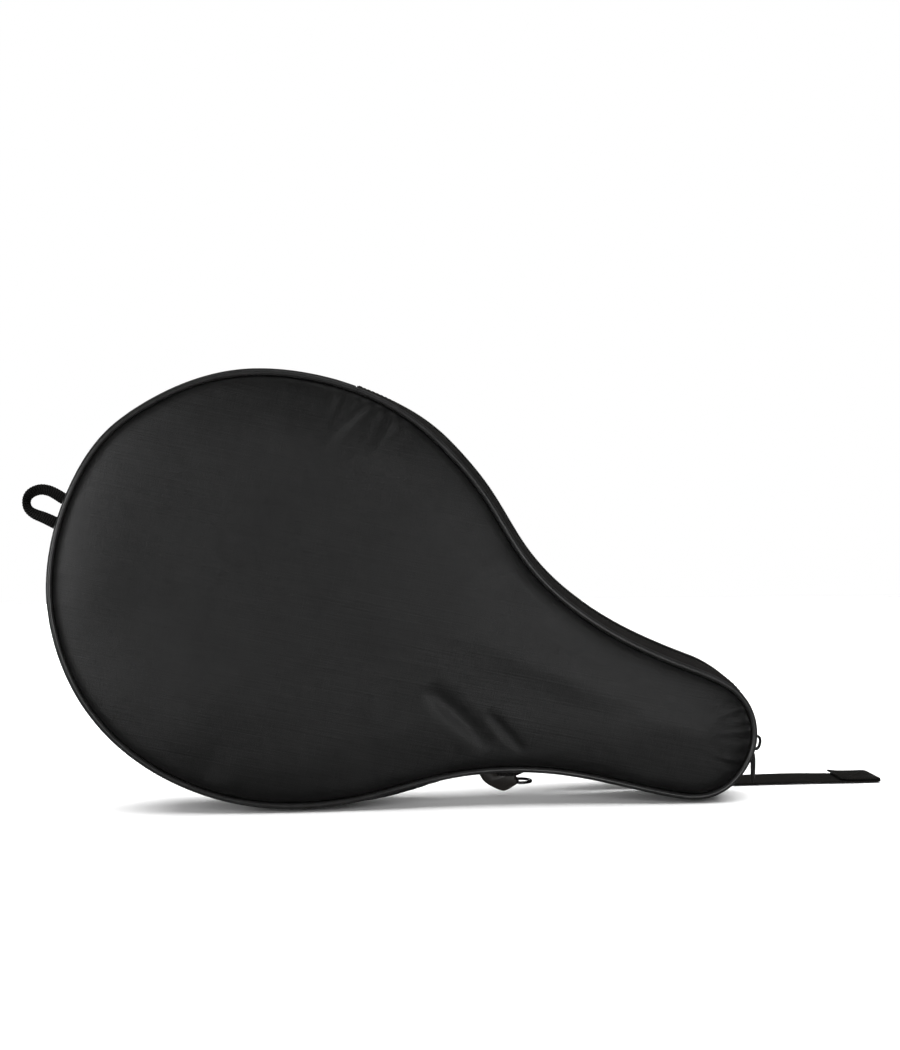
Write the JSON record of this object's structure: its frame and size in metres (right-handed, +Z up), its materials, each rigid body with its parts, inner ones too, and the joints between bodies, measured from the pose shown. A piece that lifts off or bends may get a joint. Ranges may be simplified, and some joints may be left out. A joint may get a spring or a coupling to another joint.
{
  "type": "paddle case",
  "caption": "Soft zipped case shaped like a short-handled paddle, with piped edges, a hanging loop, a ring tab and a folded webbing shoulder strap.",
  "frame": {"origin": "middle of the bounding box's base, on the surface that the case stands on", "axes": "+Z up, +X from the round head to the handle end, -Y is the front cover's side"},
  "size_m": [0.5966, 0.088, 0.2921],
  "materials": {
    "shell_fabric": "black satin woven nylon with a soft sheen",
    "piping_vinyl": "black satin vinyl over a round cord",
    "pad_foam": "closed-cell foam sheet, hidden between cover and lining",
    "lining_fabric": "black woven polyester, dull",
    "binding_tape": "black grosgrain binding, dull",
    "zip_tape": "black woven zip tape, dull",
    "zip_coil": "black nylon coil",
    "slider_metal": "black enamelled zinc, semi-gloss",
    "ring_metal": "black coated steel wire, semi-gloss",
    "buckle_plastic": "black moulded acetal, satin",
    "webbing": "black woven polyester webbing, dull"
  },
  "bodies": {
    "case": {"back_binding": "binding_tape", "back_cover": "shell_fabric", "back_foam": "pad_foam", "back_lining": "lining_fabric", "back_piping": "piping_vinyl", "front_binding": "binding_tape", "front_cover": "shell_fabric", "front_foam": "pad_foam", "front_lining": "lining_fabric", "front_piping": "piping_vinyl", "hanging_loop": "webbing", "head_tab": "webbing", "ladder_lock": "buckle_plastic", "lock_webbing": "webbing", "neck_tab": "webbing", "ring_tab": "shell_fabric", "shoulder_strap": "webbing", "side_wall": "shell_fabric", "wall_foam": "pad_foam", "wall_lining": "lining_fabric", "zip_back_coil": "zip_coil", "zip_back_facing": "zip_tape", "zip_back_stop": "slider_metal", "zip_back_tape": "zip_tape", "zip_end_coil": "zip_coil", "zip_end_facing": "zip_tape", "zip_end_stop": "slider_metal", "zip_end_tape": "zip_tape"},
    "flap": {"flap_binding": "binding_tape", "flap_cover": "shell_fabric", "flap_foam": "pad_foam", "flap_lining": "lining_fabric", "flap_piping": "piping_vinyl", "zip_front_coil": "zip_coil", "zip_front_facing": "zip_tape", "zip_front_stop": "slider_metal", "zip_front_tape": "zip_tape"},
    "slider": {"zip_slider": "slider_metal"},
    "pull": {"zip_pull": "slider_metal"},
    "ring": {"d_ring": "ring_metal"}
  },
  "joints": [
    {"name": "flap_fold", "type": "hinge", "parent": "case", "child": "flap", "pos_m": [-0.09823, -0.0443, 0.25906], "axis": [0.7269, 0, -0.6868], "range_deg": [0, 45]},
    {"name": "slider_travel", "type": "hinge", "parent": "case", "child": "slider", "pos_m": [0.14925, -0.014, 0.046], "axis": [0, -1, 0], "range_deg": [-4, 34]},
    {"name": "pull_swing", "type": "hinge", "parent": "slider", "child": "pull", "pos_m": [0.19427, -0.014, 0.03477], "axis": [0, -1, 0], "range_deg": [-8, 110]},
    {"name": "ring_swing", "type": "hinge", "parent": "case", "child": "ring", "pos_m": [0.02875, -0.014, 0.0126], "axis": [0, 1, 0], "range_deg": [-30, 70]}
  ]
}
